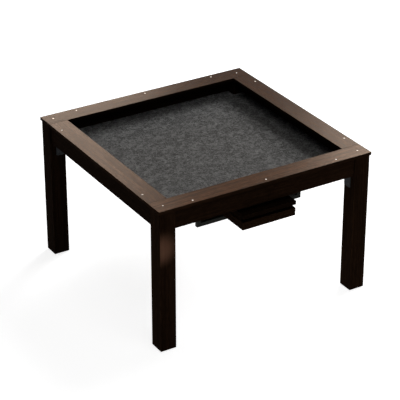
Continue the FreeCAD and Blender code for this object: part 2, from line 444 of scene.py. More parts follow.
@dataclass(frozen=True)
class StainedPlywood:
    """A rotary-cut face veneer with a thin wash of stain.

    Attributes:
        dark: The colour of the veneer's late wood.
        pale: The colour of the veneer's early wood.
    """

    dark: Colour = (0.020, 0.012, 0.007)
    pale: Colour = (0.052, 0.032, 0.019)

    def material(self) -> bpy.types.Material:
        """Makes the material.

        Returns:
            The material.
        """
        shader = Shader("stained plywood")
        place = shader.own_place()
        waves = shader.noise(shader.stretch(place, (1.6, 9.0, 40.0)), distortion=1.4)
        bands = shader.reckon("SINE", shader.times(waves, 38.0))
        fibre = shader.streaks(place, 16.0, 420.0, roughness=0.6)
        tone = shader.sum(shader.spread(bands, -1.0, 1.0, 0.0, 0.55),
                          shader.spread(fibre, 0.30, 0.70, 0.0, 0.45))
        return shader.finish(
            Base_Color=shader.blend(tone, self.dark, self.pale),
            Roughness=shader.spread(fibre, 0.3, 0.7, 0.62, 0.74),
            Specular_IOR_Level=0.2,
            Normal=shader.bump(fibre, 0.2, 0.0002),
        )


@dataclass(frozen=True)
class PaintedSteel:
    """Powder-coated steel with the fine ripple of the coat, a little dust and rubbed spots.

    Attributes:
        paint: The colour of the coat.
        dust: The colour where it is dusty or rubbed.
        roughness: How matt the coat is.
        gloss: The shader's specular level.
    """

    paint: Colour = (0.0145, 0.0148, 0.0120)
    dust: Colour = (0.034, 0.0345, 0.029)
    roughness: float = 0.48
    gloss: float = 0.05

    def material(self) -> bpy.types.Material:
        """Makes the material.

        Returns:
            The material.
        """
        shader = Shader("charcoal powder coat")
        place = shader.own_place()
        cloud = shader.noise(place, 28.0, detail=4.0, roughness=0.65)
        ripple = shader.noise(place, 900.0, detail=2.0)
        rubs = shader.spread(shader.noise(place, 120.0, detail=5.0, roughness=0.75), 0.62, 0.72)
        colour = shader.blend(shader.spread(cloud, 0.42, 0.75, 0.0, 0.45), self.paint, self.dust)
        return shader.finish(
            Base_Color=shader.blend(shader.times(rubs, 0.5), colour, self.dust),
            Roughness=shader.spread(cloud, 0.3, 0.7, self.roughness - 0.07, self.roughness + 0.10),
            Specular_IOR_Level=self.gloss,
            Normal=shader.bump(ripple, 0.22, 0.0003),
        )


@dataclass(frozen=True)
class BareSteel:
    """Plated steel with the grain of its rolling or turning and small changes of shine.

    Attributes:
        name: The material's name.
        dull: The colour of the dullest plate.
        bright: The colour of the brightest plate.
        roughness: How matt the plate is.
        metallic: How far it is bare metal.
        gloss: The shader's specular level.
        spangle: How many crystals there are to a metre.
    """

    name: str
    dull: Colour
    bright: Colour
    roughness: float
    metallic: float
    gloss: float
    spangle: float

    def material(self) -> bpy.types.Material:
        """Makes the material.

        Returns:
            The material.
        """
        shader = Shader(self.name)
        place = shader.own_place()
        crystals = shader.cells(place, self.spangle)
        cloud = shader.noise(place, 60.0, detail=4.0, roughness=0.6)
        scratch = shader.noise(shader.stretch(place, (90.0, 90.0, 2600.0)), detail=2.0)
        tone = shader.sum(shader.spread(crystals, 0.0, 1.0, 0.0, 0.40),
                          shader.spread(cloud, 0.30, 0.70, 0.0, 0.60))
        return shader.finish(
            Base_Color=shader.blend(tone, self.dull, self.bright),
            Metallic=self.metallic,
            Roughness=shader.spread(scratch, 0.3, 0.7, self.roughness - 0.06, self.roughness + 0.08),
            Specular_IOR_Level=self.gloss,
            Normal=shader.bump(scratch, 0.12, 0.0001),
        )


@dataclass(frozen=True)
class MouldedNylon:
    """Black nylon with a moulded skin and scuffs from the floor.

    Attributes:
        skin: The colour of the skin.
        scuff: The colour of the scuffs.
    """

    skin: Colour = (0.016, 0.016, 0.016)
    scuff: Colour = (0.070, 0.068, 0.064)

    def material(self) -> bpy.types.Material:
        """Makes the material.

        Returns:
            The material.
        """
        shader = Shader("moulded nylon")
        place = shader.own_place()
        scuffs = shader.spread(shader.noise(place, 240.0, detail=5.0, roughness=0.7), 0.55, 0.70)
        skin = shader.noise(place, 1800.0, detail=2.0)
        return shader.finish(
            Base_Color=shader.blend(shader.times(scuffs, 0.7), self.skin, self.scuff),
            Roughness=shader.spread(skin, 0.3, 0.7, 0.48, 0.62),
            Normal=shader.bump(skin, 0.2, 0.0002),
        )


def once(items: Iterable[Item]) -> List[Item]:
    """Each of some items once, in their order."""
    return list(dict.fromkeys(items))


def edges_at(verts: Iterable[BMVert]) -> List[BMEdge]:
    """The edges that end at some vertices."""
    return once(edge for vert in verts for edge in vert.link_edges)


def on_level(edge: BMEdge, height: float) -> bool:
    """Whether both ends of an edge lie at a height."""
    return all(abs(vert.co.z - height) < NEAR for vert in edge.verts)


def on_line(edge: BMEdge, y: float, z: float) -> bool:
    """Whether an edge lies on the line along X at that Y and Z."""
    return on_level(edge, z) and all(abs(vert.co.y - y) < NEAR for vert in edge.verts)


def on_sheet(edge: BMEdge, joint: Vector, reach: float) -> bool:
    """Whether an edge is on the outside of the upright square about a joint, rounded corners included."""
    middle = (edge.verts[0].co + edge.verts[1].co) / 2.0 - joint
    return max(abs(middle.x), abs(middle.y)) < reach + NEAR and len(edge.link_faces) == 2


class Workpiece:
    """A mesh that is worked from its blank to its finished object."""

    def __init__(self) -> None:
        """Starts with nothing on the bench."""
        self.mesh = bmesh.new()

    def block(self, low: Vector, high: Vector) -> List[BMVert]:
        """Saws a block.

        Args:
            low: Its lowest corner.
            high: Its highest corner.

        Returns:
            The block's vertices.
        """
        verts = bmesh.ops.create_cube(self.mesh, size=1.0)["verts"]
        bmesh.ops.scale(self.mesh, vec=high - low, verts=verts)
        bmesh.ops.translate(self.mesh, vec=(low + high) / 2.0, verts=verts)
        return verts

    def pull(self, geometry: Sequence[Union[BMFace, BMEdge]], along: Vector) -> List[BMVert]:
        """Draws faces out, with walls behind them.

        Args:
            geometry: The faces, and those of their edges that come along.
            along: How far they are drawn.

        Returns:
            The vertices of the drawn faces.
        """
        made = bmesh.ops.extrude_face_region(self.mesh, geom=geometry)["geom"]
        drawn = [item for item in made if isinstance(item, BMVert)]
        bmesh.ops.translate(self.mesh, vec=along, verts=drawn)
        return drawn

    def prism(self, outline: Iterable[Vector], along: Vector) -> None:
        """Draws a flat outline, whose corners are given in order, out into a bar."""
        self.pull([self.mesh.faces.new([self.mesh.verts.new(point) for point in outline])], along)
        bmesh.ops.recalc_face_normals(self.mesh, faces=self.mesh.faces)

    def edges(self, chosen: Callable[[BMEdge], bool]) -> List[BMEdge]:
        """The edges that a test chooses."""
        return [edge for edge in self.mesh.edges if chosen(edge)]

    def ease(self, edges: List[BMEdge], width: float, segments: int = 3) -> None:
        """Rounds edges over, and marks the rounded faces as worn.

        Args:
            edges: The edges.
            width: How far the rounding reaches into each face.
            segments: How many flats make up the round.
        """
        made = bmesh.ops.bevel(self.mesh, geom=edges, offset=width, offset_type="OFFSET", segments=segments,
                               profile=0.5, affect="EDGES", material=-1, clamp_overlap=True)
        for face in made["faces"]:
            face.material_index = Coat.WORN.value
            face.smooth = True

    def one_coat(self) -> None:
        """Gives every face the first finish."""
        for face in self.mesh.faces:
            face.material_index = 0

    def face_at(self, point: Vector, normal: Vector) -> BMFace:
        """Finds the flat face that holds a point.

        Args:
            point: A point on the face.
            normal: The way that the face looks.

        Returns:
            The face.

        Raises:
            ValueError: If no face is there.
        """
        self.mesh.normal_update()
        for face in self.mesh.faces:
            level = face.normal.dot(point - face.verts[0].co)
            if face.normal.dot(normal) > SAME_WAY and abs(level) < FACE_NEAR:
                if bmesh.geometry.intersect_face_point(face, point):
                    return face
        raise ValueError("no face at %s" % point)

    def cell(self, low: Vector, high: Vector, normal: Vector) -> BMFace:
        """Marks a rectangle off inside a flat face by cutting the face along its four sides.

        Args:
            low: The rectangle's lowest corner.
            high: Its highest corner.
            normal: The way that the face looks, along an axis.

        Returns:
            The rectangle's own face.
        """
        middle = (low + high) / 2.0
        for across in (SIDEWARD, BACKWARD, UP):
            if across.dot(normal):
                continue
            for corner in (low, high):
                face = self.face_at(middle, normal)
                bmesh.ops.bisect_plane(self.mesh, geom=[face, *face.edges, *face.verts], dist=CUT_NEAR,
                                       plane_co=corner, plane_no=across)
        return self.face_at(middle, normal)

    def draw(self, low: Vector, high: Vector, normal: Vector, length: float) -> None:
        """Draws a rectangle of a flat face out into a tenon, or with a negative length into a mortise."""
        cell = self.cell(low, high, normal)
        self.pull([cell, *cell.edges], normal * length)

    def ring(self, radius: float, middle: Vector, sides: int) -> List[BMEdge]:
        """Adds a level ring of edges, and returns them."""
        return edges_at(bmesh.ops.create_circle(self.mesh, cap_ends=False, segments=sides, radius=radius,
                                                matrix=Matrix.Translation(middle))["verts"])

    def step(self, edges: List[BMEdge], middle: Vector, share: float, drop: float) -> List[BMEdge]:
        """Carries a level ring on to a smaller or larger one.

        Args:
            edges: The ring.
            middle: The ring's middle.
            share: The new radius as a share of the old one.
            drop: How far below the old ring the new one lies.

        Returns:
            The new ring.
        """
        made = bmesh.ops.extrude_edge_only(self.mesh, edges=edges)["geom"]
        verts = [item for item in made if isinstance(item, BMVert)]
        bmesh.ops.scale(self.mesh, vec=(share, share, 1.0), space=Matrix.Translation(-middle), verts=verts)
        bmesh.ops.translate(self.mesh, vec=UP * -drop, verts=verts)
        fresh = set(verts)
        return [item for item in made if isinstance(item, BMEdge) and fresh.issuperset(item.verts)]

    def countersink(self, seat: Vector, mouth: float, neck: float, sides: int = 32,
                    collar: float = 2.0) -> None:
        """Sinks a conical seat for a screw's head in a level face.

        Args:
            seat: The middle of the seat's mouth.
            mouth: The radius of the mouth.
            neck: The radius of the seat's floor.
            sides: How many sides the seat has.
            collar: How far the square cut out round it reaches, as a share of the mouth's radius.
        """
        reach = (SIDEWARD + BACKWARD) * collar * mouth
        cell = self.cell(seat - reach, seat + reach, UP)
        coat = cell.material_index
        square = list(cell.edges)
        bmesh.ops.delete(self.mesh, geom=[cell], context="FACES_ONLY")
        mouth_ring = self.ring(mouth, seat, sides)
        filled = bmesh.ops.triangle_fill(self.mesh, use_beauty=True, edges=square + mouth_ring)["geom"]
        for face in filled:
            if isinstance(face, BMFace):
                face.material_index = coat
        floor_ring = self.step(mouth_ring, seat, neck / mouth, mouth - neck)
        bmesh.ops.contextual_create(self.mesh, geom=floor_ring)

    def set_grain(self, grain: Grain, plank: int, shade: float) -> None:
        """Writes each vertex's place along, across and through its plank, and the piece's painted light and
        shade.

        Args:
            grain: The axis of the grain.
            plank: A number of the plank's own, so that no two planks look alike.
            shade: How much paler than the others the piece is painted, as painted light, or darker below 0,
                as painted shade.
        """
        place_layer = self.mesh.verts.layers.float_vector.new(GRAIN)
        shade_layer = self.mesh.verts.layers.float.new(SHADE)
        shift = Vector([step * plank for step in PLANK_STEPS])
        for vert in self.mesh.verts:
            vert[place_layer] = Vector([vert.co[axis] for axis in grain.value]) + shift
            vert[shade_layer] = shade

    def turn(self, matrix: Matrix) -> None:
        """Carries the whole piece to its place."""
        bmesh.ops.transform(self.mesh, matrix=matrix, verts=self.mesh.verts)

    def to_object(self, name: str, round_under: float = 0.0) -> bpy.types.Object:
        """Takes the finished mesh off the bench.

        Args:
            name: The object's name.
            round_under: The angle in degrees up to which edges look round, or 0 where flat faces stay flat.

        Returns:
            The object, at the origin.
        """
        bmesh.ops.remove_doubles(self.mesh, verts=self.mesh.verts, dist=NEAR)
        bmesh.ops.recalc_face_normals(self.mesh, faces=self.mesh.faces)
        data = bpy.data.meshes.new(name)
        self.mesh.to_mesh(data)
        self.mesh.free()
        if round_under:
            data.shade_smooth()
            data.set_sharp_from_angle(angle=math.radians(round_under))
        made = bpy.data.objects.new(name, data)
        bpy.context.scene.collection.objects.link(made)
        return made


def set_down(work: Workpiece, node: str, materials: Sequence[bpy.types.Material],
             body: str = TABLE, round_under: float = 0.0) -> bpy.types.Object:
    """Finishes a piece, and sets it in the frame in place of its node.

    Args:
        work: The piece.
        node: The node that it stands for.
        materials: Its materials, in the order of its faces' indices.
        body: The body that it rides on.
        round_under: The angle in degrees up to which its edges look round.

    Returns:
        The piece.
    """
    piece = work.to_object(node + "_dressed", round_under)
    for material in materials:
        piece.data.materials.append(material)
    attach(piece, body)
    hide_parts(node)
    log.info("%s rides on %s and stands for %s", piece.name, body, node)
    return piece


def coat_node(node: str, material: bpy.types.Material) -> None:
    """Gives a node of the frame, whose shape stays, a new material.

    Args:
        node: The node's name.
        material: The material.
    """
    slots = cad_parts[node].data.materials
    slots.clear()
    slots.append(material)
    log.info("%s keeps its shape and takes %s", node, material.name)


class Palette:
    """Every finish of the table, made once."""

    def __init__(self) -> None:
        """Makes the materials, with those of the wood in the order of the coats."""
        # A painted highlight on the front face of the front-left leg.
        spot = PaintedHighlight(middle=(-0.585, -0.594, 0.557), reach=(0.103, 0.05, 0.107),
                        colour=(0.150, 0.074, 0.046))
        self.wood = [stained.material() for stained in (
            StainedWood("stained wood"),
            StainedWood("stained wood, rubbed edge", roughness=0.50, gloss=0.003, bare=0.25),
            # A real satin coat in its roughness and gloss, with paler colours that are painted sheen.
            StainedWood("stained wood, satin face, painted sheen", deep=(0.013, 0.0045, 0.0017),
                        body=(0.047, 0.0186, 0.0077), pale=(0.132, 0.0565, 0.0248), roughness=0.25,
                        gloss=0.016),
            StainedWood("stained wood, painted highlight", spot=spot),
        )]
        self.plywood = StainedPlywood().material()
        self.felt = WoolFelt().material()
        self.painted = PaintedSteel().material()
        self.plated = BareSteel("plated bracket", dull=(0.0215, 0.0225, 0.0240), bright=(0.045, 0.047, 0.050),
                                roughness=0.5, metallic=0.15, gloss=0.02, spangle=160.0).material()
        self.dull_screw = BareSteel("dull screw", dull=(0.030, 0.030, 0.029), bright=(0.060, 0.060, 0.058),
                                    roughness=0.45, metallic=0.3, gloss=0.1, spangle=900.0).material()
        self.screw = BareSteel("bright screw", dull=(0.68, 0.67, 0.65), bright=(0.84, 0.83, 0.81),
                               roughness=0.45, metallic=0.25, gloss=0.02, spangle=900.0).material()
        self.nylon = MouldedNylon().material()

    def stain(self, work: Workpiece, node: str, grain: Grain, plank: int,
              turn: Matrix = Matrix.Identity(4), body: str = TABLE) -> None:
        """Finishes a wooden piece, and sets it in the frame in place of its node.

        Args:
            work: The piece, as if on the front side.
            node: The node that it stands for.
            grain: The axis of its grain there.
            plank: Its number among the planks.
            turn: The turn that carries it to its own side.
            body: The body that it rides on.
        """
        work.set_grain(grain, plank, PAINTED_PLANK_LIGHT.get(node, 0.0))
        work.turn(turn)
        set_down(work, node, self.wood, body)


@dataclass
class Assembly:
    """A sub-assembly of the table.

    Attributes:
        palette: The finishes that it is made in.
    """

    palette: Palette


@dataclass(frozen=True)
class WoodScrew:
    """A countersunk wood screw with a cross recess.

    Attributes:
        head_radius: The radius of its head.
        length: Its length over all.
        shank_radius: The radius of its shank.
        sides: How many sides its head has.
        crown_share: The radius of the head's flat face, as a share of the head's radius.
        lip_share: The height of the rounded lip, as a share of the head's radius.
        arm_share: The reach of the cross, as a share of the head's radius.
        recess_share: The depth of the cross, as a share of the head's radius.
        floor_share: How far the cross narrows to its floor.
        taper_share: How far the shank narrows to its point.
    """

    head_radius: float
    length: float
    shank_radius: float = 0.002
    sides: int = 24
    crown_share: float = 0.90
    lip_share: float = 0.05
    arm_share: float = 0.60
    recess_share: float = 0.40
    floor_share: float = 0.6
    taper_share: float = 0.85

    def drive(self, group: Workpiece, seat: Matrix, turn: float) -> None:
        """Drives one screw.

        Args:
            group: The group of screws that it joins.
            seat: Where the middle of its head lies, with its point towards the seat's -Z.
            turn: How far round it is driven, in radians.
        """
        before = set(group.mesh.verts)
        lip = self.lip_share * self.head_radius
        middle = UP * -lip
        rim = group.ring(self.head_radius, middle, self.sides)
        crown = group.step(rim, middle, self.crown_share, -lip)
        self.cut_cross(group, crown)
        head_height = self.head_radius - self.shank_radius
        neck = group.step(rim, middle, self.shank_radius / self.head_radius, head_height)
        shoulder = group.step(neck, middle, self.taper_share, self.taper_share * (self.length - head_height))
        point = group.step(shoulder, middle, self.taper_share, 0.0)
        bmesh.ops.pointmerge(group.mesh, verts=once(vert for edge in point for vert in edge.verts),
                             merge_co=UP * -self.length)
        fresh = [vert for vert in group.mesh.verts if vert not in before]
        bmesh.ops.transform(group.mesh, matrix=seat @ Matrix.Rotation(turn, 4, "Z"), verts=fresh)

    def cut_cross(self, group: Workpiece, crown: List[BMEdge]) -> None:
        """Closes the head with a face that has a cross sunk in it.

        Args:
            group: The group of screws.
            crown: The ring round that face.
        """
        reach = self.arm_share * self.head_radius
        grid = bmesh.ops.create_grid(group.mesh, x_segments=3, y_segments=3, size=reach)["verts"]
        middles = {face: face.calc_center_median() for vert in grid for face in vert.link_faces}
        corners = [face for face, at in middles.items() if min(abs(at.x), abs(at.y)) > reach / 3.0]
        bmesh.ops.delete(group.mesh, geom=corners, context="FACES")
        cross = [face for face in middles if face.is_valid]
        lines = once(edge for face in cross for edge in face.edges)
        outline = [edge for edge in lines if len(edge.link_faces) == 1]
        bmesh.ops.triangle_fill(group.mesh, use_beauty=True, edges=crown + outline)
        floor = group.pull(cross + lines, UP * -self.recess_share * self.head_radius)
        bmesh.ops.scale(group.mesh, vec=(self.floor_share, self.floor_share, 1.0), verts=floor)


Seat = Tuple[WoodScrew, Matrix]


@dataclass(frozen=True)
class ScrewSet:
    """A group of like screws that stands for one node of the frame.

    Attributes:
        node: The node.
        seed: The seed of how far round each screw is driven.
    """

    node: str
    seed: int

    def build(self, seats: Iterable[Seat], steel: bpy.types.Material) -> None:
        """Drives the screws.

        Args:
            seats: Each screw and where it goes.
            steel: Their finish.
        """
        draw = random.Random(self.seed)
        group = Workpiece()
        for screw, seat in seats:
            screw.drive(group, seat, draw.uniform(0.0, math.pi / 2.0))
        set_down(group, self.node, [steel], round_under=ROUND_UNDER)


@dataclass
class Trestle(Assembly):
    """The standing frame: four legs on glides, and four aprons tenoned into them.

    Attributes:
        leg_ease: How far the edges of a leg are rounded.
        apron_ease: How far the long edges of an apron are rounded.
        rebate_width: The width of an apron's rebate for the play panel.
        rebate_height: The height of that rebate.
        tenon_length: The length of a tenon.
        tenon_thickness: The thickness of a tenon.
        tenon_shoulder: What is cut away above and below a tenon.
        mortise_slack: The gap round a tenon in its mortise.
        mortise_spare: The empty depth past the end of a tenon.
        glide_ease: How far the edge of a glide is rounded.
        glide_round: Where the round of that edge has its corner, as a share of it.
        glide_height: How far a glide holds the leg off the floor.
        glide_steps: How many sides a glide has.
        nail_radius: The radius of the nail of a glide.
        nail_taper: Where the point of the nail starts, as a share of the glide's whole height.
    """

    leg_ease: float = 0.0015
    apron_ease: float = 0.0007
    rebate_width: float = 0.010
    rebate_height: float = 0.012
    tenon_length: float = 0.030
    tenon_thickness: float = 0.010
    tenon_shoulder: float = 0.010
    mortise_slack: float = 0.0002
    mortise_spare: float = 0.002
    glide_ease: float = 0.0012
    glide_round: float = 0.3
    glide_height: float = 0.004
    glide_steps: int = 48
    nail_radius: float = 0.002
    nail_taper: float = 0.8

    def build(self) -> None:
        """Builds the legs, glides and aprons."""
        for plank, corner in enumerate(Corner):
            self.leg(corner, plank)
            self.glide(corner)
        for plank, side in enumerate(Side, start=len(Corner)):
            self.apron(side, plank)

    def tenon_section(self, slack: float = 0.0) -> Tuple[float, float, float, float]:
        """The section of a tenon of the front apron.

        Args:
            slack: How far the section is widened all round.

        Returns:
            Its lowest and highest Y, then its lowest and highest Z.
        """
        low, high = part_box("apron_front")
        middle = (low.y + high.y) / 2.0
        reach = self.tenon_thickness / 2.0 + slack
        bottom = low.z + self.rebate_height + self.tenon_shoulder - slack
        return middle - reach, middle + reach, bottom, high.z - self.tenon_shoulder + slack

    def leg(self, corner: Corner, plank: int) -> None:
        """Builds one leg, with a mortise in each of its inner faces.

        Args:
            corner: The leg's corner.
            plank: The leg's number among the planks.
        """
        low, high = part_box("leg_front_left")
        piece = Workpiece()
        piece.block(low, high)
        near, far, bottom, top = self.tenon_section(self.mortise_slack)
        depth = -self.tenon_length - self.mortise_spare
        piece.ease(piece.edges(lambda edge: not on_level(edge, high.z)), self.leg_ease)
        # The front face of the front-left leg takes the painted highlight.
        if corner is Corner.FRONT_LEFT:
            middle = (low + high) / 2.0
            front = piece.face_at(Vector((middle.x, low.y, middle.z)), -BACKWARD)
            front.material_index = Coat.PAINTED_HIGHLIGHT.value
        piece.draw(Vector((high.x, near, bottom)), Vector((high.x, far, top)), SIDEWARD, depth)
        piece.draw(Vector((near, high.y, bottom)), Vector((far, high.y, top)), BACKWARD, depth)
        self.palette.stain(piece, "leg_" + corner.label, Grain.ALONG_Z, plank, corner.turn)

    def glide(self, corner: Corner) -> None:
        """Builds one round glide with its nail.

        Args:
            corner: The glide's corner.
        """
        node = "glide_" + corner.label
        low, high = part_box(node)
        middle = (low + high) / 2.0
        radius = high.x - middle.x
        round_off = self.glide_round * self.glide_ease
        profile = [
            (0.0, 0.0), (radius - self.glide_ease, 0.0), (radius - round_off, round_off),
            (radius, self.glide_ease), (radius, self.glide_height), (self.nail_radius, self.glide_height),
            (self.nail_radius, self.nail_taper * high.z), (0.0, high.z),
        ]
        piece = Workpiece()
        verts = [piece.mesh.verts.new((middle.x + across, middle.y, height)) for across, height in profile]
        edges = [piece.mesh.edges.new(pair) for pair in zip(verts, verts[1:])]
        bmesh.ops.spin(piece.mesh, geom=verts + edges, cent=(middle.x, middle.y, 0.0), axis=UP,
                       angle=2.0 * math.pi, steps=self.glide_steps, use_merge=True)
        set_down(piece, node, [self.palette.nylon], round_under=ROUND_UNDER)

    def apron(self, side: Side, plank: int) -> None:
        """Builds one apron, with its rebate and its tenons.

        Args:
            side: The apron's side.
            plank: The apron's number among the planks.
        """
        low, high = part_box("apron_front")
        half = high.x - self.tenon_length
        step_y, step_z = high.y - self.rebate_width, low.z + self.rebate_height
        outline = [(low.y, low.z), (step_y, low.z), (step_y, step_z), (high.y, step_z), (high.y, high.z),
                   (low.y, high.z)]
        piece = Workpiece()
        piece.prism([Vector((-half, y, z)) for y, z in outline], SIDEWARD * 2.0 * half)
        corners = ((low.y, low.z), (low.y, high.z), (high.y, high.z))
        piece.ease(piece.edges(lambda edge: any(on_line(edge, y, z) for y, z in corners)), self.apron_ease)
        near, far, bottom, top = self.tenon_section()
        for end in ENDS:
            piece.draw(Vector((end * half, near, bottom)), Vector((end * half, far, top)),
                       SIDEWARD * end, self.tenon_length)
        self.palette.stain(piece, "apron_" + side.label, Grain.ALONG_X, plank, side.turn)


@dataclass
class Rim(Assembly):
    """The flat rim: four boards that are butted at the corners and screwed down from above.

    Attributes:
        ease: How far the edges of a board are rounded.
        screw: The screw that holds it.
        seat_slack: The gap round the head of a screw in its seat.
        corner_inset: From the outer edges to the screw in a corner.
        end_distance: From a leg to the first screw over an apron.
        first_plank: The number of the front board among the planks.
    """

    ease: float = 0.0012
    screw: WoodScrew = WoodScrew(head_radius=0.004, length=0.045)
    seat_slack: float = 0.00015
    corner_inset: float = 0.050
    end_distance: float = 0.104
    first_plank: int = 11

    def build(self) -> None:
        """Builds the boards and their screws."""
        seats: List[Seat] = []
        for plank, side in enumerate(Side, start=self.first_plank):
            self.board(side, plank)
            seats += [(self.screw, side.turn @ Matrix.Translation(spot)) for spot in self.spots(side)]
        ScrewSet("rim_screws", seed=5).build(seats, self.palette.screw)

    def spots(self, side: Side) -> List[Vector]:
        """Where the screws of a board stand, as if it were on the front side.

        Args:
            side: The board's side.

        Returns:
            The middles of the heads.
        """
        low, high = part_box("rim_front")
        apron_low, apron_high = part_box("apron_front")
        over_apron = (apron_low.y + apron_high.y) / 2.0
        reach = -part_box("leg_front_left")[1].x - self.end_distance
        places = [(end * reach, over_apron) for end in ENDS]
        if side.runs_through:
            corner = high.x - self.corner_inset
            places += [(0.0, over_apron)]
            places += [(end * corner, low.y + self.corner_inset) for end in ENDS]
        return [Vector((x, y, high.z)) for x, y in places]

    def board(self, side: Side, plank: int) -> None:
        """Builds one board, with a satin top whose paler colours are painted sheen, and seats for its screws.

        Args:
            side: The board's side.
            plank: The board's number among the planks.
        """
        low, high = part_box("rim_front")
        if not side.runs_through:
            low.x, high.x = (corner.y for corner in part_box("rim_left"))
        piece = Workpiece()
        piece.block(low, high)
        piece.ease(list(piece.mesh.edges), self.ease)
        middle = (low + high) / 2.0
        piece.face_at(Vector((middle.x, middle.y, high.z)), UP).material_index = Coat.SATIN_PAINTED_SHEEN.value
        mouth = self.screw.head_radius + self.seat_slack
        for spot in self.spots(side):
            piece.countersink(spot, mouth, self.screw.shank_radius)
        self.palette.stain(piece, "rim_" + side.label, Grain.ALONG_X, plank, side.turn)


@dataclass
class PlayFloor(Assembly):
    """The sunk play floor: felt that is cut round the legs and laid on a plywood panel.

    Attributes:
        grid: How many squares the felt is divided into each way.
        leg_slack: The gap between the felt and a leg.
        swell: How far the felt rises and falls.
        swell_scale: How many swells there are to a metre.
        edge_ease: How far its cut edge is rounded.
        round_under: The angle in degrees up to which its edges look round.
    """

    grid: int = 56
    leg_slack: float = 0.0005
    swell: float = 0.0002
    swell_scale: float = 9.0
    edge_ease: float = 0.0008
    round_under: float = 70.0

    def build(self) -> None:
        """Lays the felt and coats the panel."""
        coat_node("play_panel", self.palette.plywood)
        low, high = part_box("play_felt")
        piece = Workpiece()
        half = (high.x - low.x) / 2.0
        inside = -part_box("leg_front_left")[1].x - self.leg_slack
        bmesh.ops.create_grid(piece.mesh, x_segments=self.grid, y_segments=self.grid, size=half,
                              matrix=Matrix.Translation(UP * high.z))
        self.cut_notches(piece, inside)
        self.lay(piece, high.z, high.z - low.z)
        felt = set_down(piece, "play_felt", [self.palette.felt],
                        round_under=self.round_under)
        width, notch = 2.0 * half, half - inside
        width * width - len(Corner) * notch * notch

    def cut_notches(self, piece: Workpiece, inside: float) -> None:
        """Cuts a square out of each corner of the felt.

        Args:
            piece: The felt.
            inside: From the middle of the felt to the sides of a notch.
        """
        for axis in (SIDEWARD, BACKWARD):
            for sign in ENDS:
                geometry = [*piece.mesh.verts, *piece.mesh.edges, *piece.mesh.faces]
                bmesh.ops.bisect_plane(piece.mesh, geom=geometry, dist=NEAR, plane_co=axis * sign * inside,
                                       plane_no=axis)
        middles = {face: face.calc_center_median() for face in piece.mesh.faces}
        corners = [face for face, at in middles.items() if min(abs(at.x), abs(at.y)) > inside]
        bmesh.ops.delete(piece.mesh, geom=corners, context="FACES")

    def lay(self, piece: Workpiece, top: float, thickness: float) -> None:
        """Lets the felt swell a little, and gives it its thickness and a soft edge.

        Args:
            piece: The felt.
            top: The height of its face.
            thickness: Its thickness.
        """
        piece.pull(list(piece.mesh.faces), UP * -thickness)
        border = piece.edges(lambda edge: on_level(edge, top)
                             and any(abs(face.normal.z) < 0.5 for face in edge.link_faces))
        for vert in piece.mesh.verts:
            if vert.co.z > top - thickness / 2.0:
                vert.co.z += self.swell * (noise.noise(vert.co * self.swell_scale) - 1.0)
        piece.ease(border, self.edge_ease, segments=2)
        piece.one_coat()


